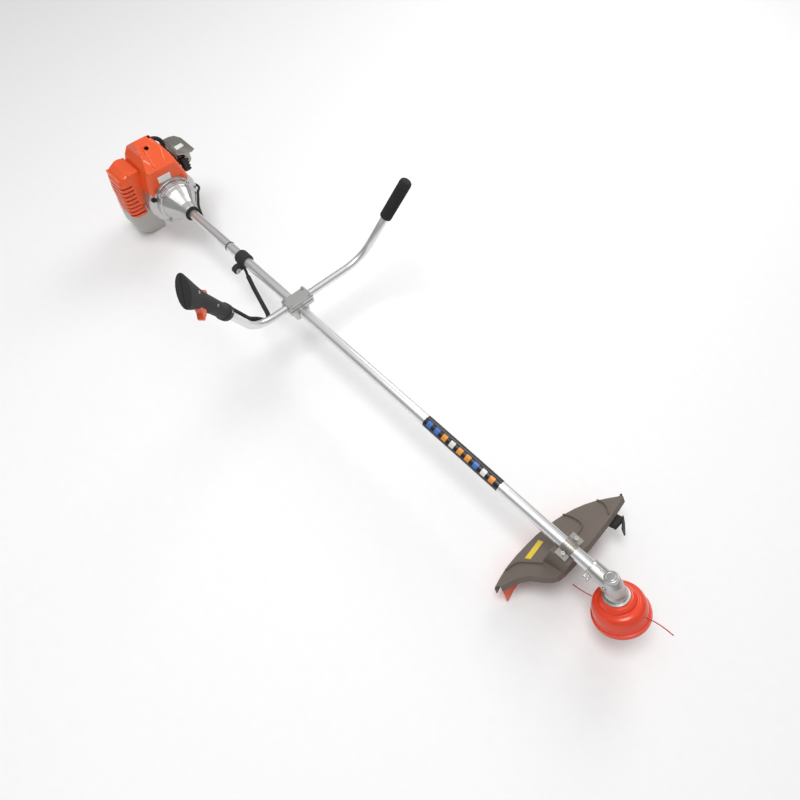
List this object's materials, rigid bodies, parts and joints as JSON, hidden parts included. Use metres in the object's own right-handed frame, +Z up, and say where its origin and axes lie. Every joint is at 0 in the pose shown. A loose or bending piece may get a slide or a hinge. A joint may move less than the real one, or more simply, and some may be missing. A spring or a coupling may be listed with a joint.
{
  "type": "brush cutter",
  "caption": "Petrol brush cutter: a two-stroke engine, a long straight tube, a bicycle handlebar with a throttle grip, and a guarded bevel gear trimmer head.",
  "frame": {"origin": "middle of the fuel tank's foot, on the plane the machine rests on", "axes": "+X along the shaft tube towards the trimmer head, +Y the operator's left, +Z up"},
  "size_m": [1.9127, 0.6368, 0.5582],
  "materials": {
    "orange_plastic": "satin moulded",
    "orange_gloss": "glossy moulded",
    "black_plastic": "fine textured",
    "taupe_plastic": "fine textured",
    "tank_plastic": "translucent blow moulded",
    "cast_aluminium": "die cast",
    "anodised_tube": "brushed and anodised",
    "steel": "plated",
    "muffler_steel": "heat dulled",
    "black_rubber": "moulded",
    "line_red": "nylon line",
    "filter_foam": "open foam"
  },
  "bodies": {
    "frame": {"shaft_tube": "anodised_tube", "shaft_bush": "black_rubber", "gear_case": "cast_aluminium", "gear_case_cap": "cast_aluminium", "guard": "taupe_plastic", "guard_extension": "orange_plastic", "guard_clamp": "taupe_plastic", "guard_bolt_left": "steel", "guard_bolt_right": "steel", "line_blade": "black_plastic", "handlebar": "anodised_tube", "handle_clamp_base": "cast_aluminium", "handle_clamp_cap": "cast_aluminium", "handle_bolt_1": "steel", "handle_bolt_2": "steel", "handle_bolt_3": "steel", "handle_bolt_4": "steel", "left_grip": "black_rubber", "throttle_grip_front": "black_plastic", "throttle_grip_rear": "black_plastic", "throttle_cable": "black_rubber", "strap_hanger": "black_plastic", "strap_hanger_bolt": "steel", "clutch_housing": "cast_aluminium", "fan_case": "cast_aluminium", "crankcase": "cast_aluminium", "cylinder": "cast_aluminium", "spark_plug": "steel", "spark_plug_cap": "black_rubber", "ignition_coil": "black_plastic", "top_shroud": "orange_plastic", "side_cover": "orange_plastic", "carburettor": "cast_aluminium", "air_filter": "filter_foam", "muffler": "muffler_steel", "muffler_shield": "muffler_steel", "fuel_tank": "tank_plastic", "starter_case": "orange_plastic"},
    "drive_line": {"drive_shaft": "steel", "clutch_drum": "steel", "input_pinion": "steel"},
    "trimmer_head": {"output_gear": "steel", "adapter_washer": "steel", "head_housing": "orange_gloss", "head_base": "orange_gloss", "line_tail_left": "line_red", "line_tail_right": "line_red", "bump_spring": "steel"},
    "spool": {"line_spool": "line_red", "bump_knob": "black_plastic"},
    "crank": {"crankshaft": "steel", "flywheel": "cast_aluminium", "clutch_shoes": "steel"},
    "piston": {"piston": "cast_aluminium"},
    "trigger": {"throttle_trigger": "orange_plastic"},
    "interlock": {"throttle_interlock": "orange_plastic"},
    "switch": {"stop_switch": "black_plastic"},
    "choke": {"choke_lever": "black_plastic"},
    "starter_pull": {"starter_handle": "black_plastic"},
    "tank_cap": {"fuel_cap": "black_plastic"}
  },
  "joints": [
    {"name": "drive_turn", "type": "hinge", "parent": "frame", "child": "drive_line", "pos_m": [1.69, 0, 0.169], "axis": [1, 0, 0], "continuous": true},
    {"name": "head_turn", "type": "hinge", "parent": "frame", "child": "trimmer_head", "pos_m": [1.748, 0, 0.169], "axis": [0.5, 0, -0.866], "continuous": true},
    {"name": "bump_feed", "type": "slide", "parent": "trimmer_head", "child": "spool", "axis": [-0.5, 0, 0.866], "range_m": [0, 0.006], "stiffness_N_per_m": 2000, "springref_m": -0.004},
    {"name": "crank_turn", "type": "hinge", "parent": "frame", "child": "crank", "pos_m": [0.092, 0, 0.169], "axis": [1, 0, 0], "continuous": true},
    {"name": "piston_stroke", "type": "slide", "parent": "frame", "child": "piston", "axis": [0, 0, 1], "range_m": [-0.026, 0]},
    {"name": "trigger_pull", "type": "hinge", "parent": "frame", "child": "trigger", "pos_m": [0.84634, -0.26665, 0.46888], "axis": [0.7343, 0.6706, 0.1057], "range_deg": [0, 14], "stiffness_Nm_per_rad": 0.15, "springref_deg": -11.46},
    {"name": "interlock_press", "type": "hinge", "parent": "frame", "child": "interlock", "pos_m": [0.82532, -0.24216, 0.45955], "axis": [0.7343, 0.6706, 0.1057], "range_deg": [0, 12], "stiffness_Nm_per_rad": 0.08, "springref_deg": -14.32},
    {"name": "switch_rock", "type": "hinge", "parent": "frame", "child": "switch", "pos_m": [0.81365, -0.24564, 0.42074], "axis": [0.6313, -0.6172, -0.4696], "range_deg": [0, 8]},
    {"name": "choke_turn", "type": "hinge", "parent": "frame", "child": "choke", "pos_m": [0.0437, -0.1, 0.184], "axis": [1, 0, 0], "range_deg": [0, 50]},
    {"name": "starter_draw", "type": "slide", "parent": "frame", "child": "starter_pull", "axis": [0, 0.6, 0.8], "range_m": [0, 0.6], "stiffness_N_per_m": 6, "springref_m": -0.8},
    {"name": "cap_turn", "type": "hinge", "parent": "frame", "child": "tank_cap", "pos_m": [-0.007, 0.062, 0.1054], "axis": [0, 0, 1], "range_deg": [0, 360]}
  ],
  "couplings": [
    {"joint": "drive_turn", "follows": "head_turn", "ratio": 1.5}
  ]
}
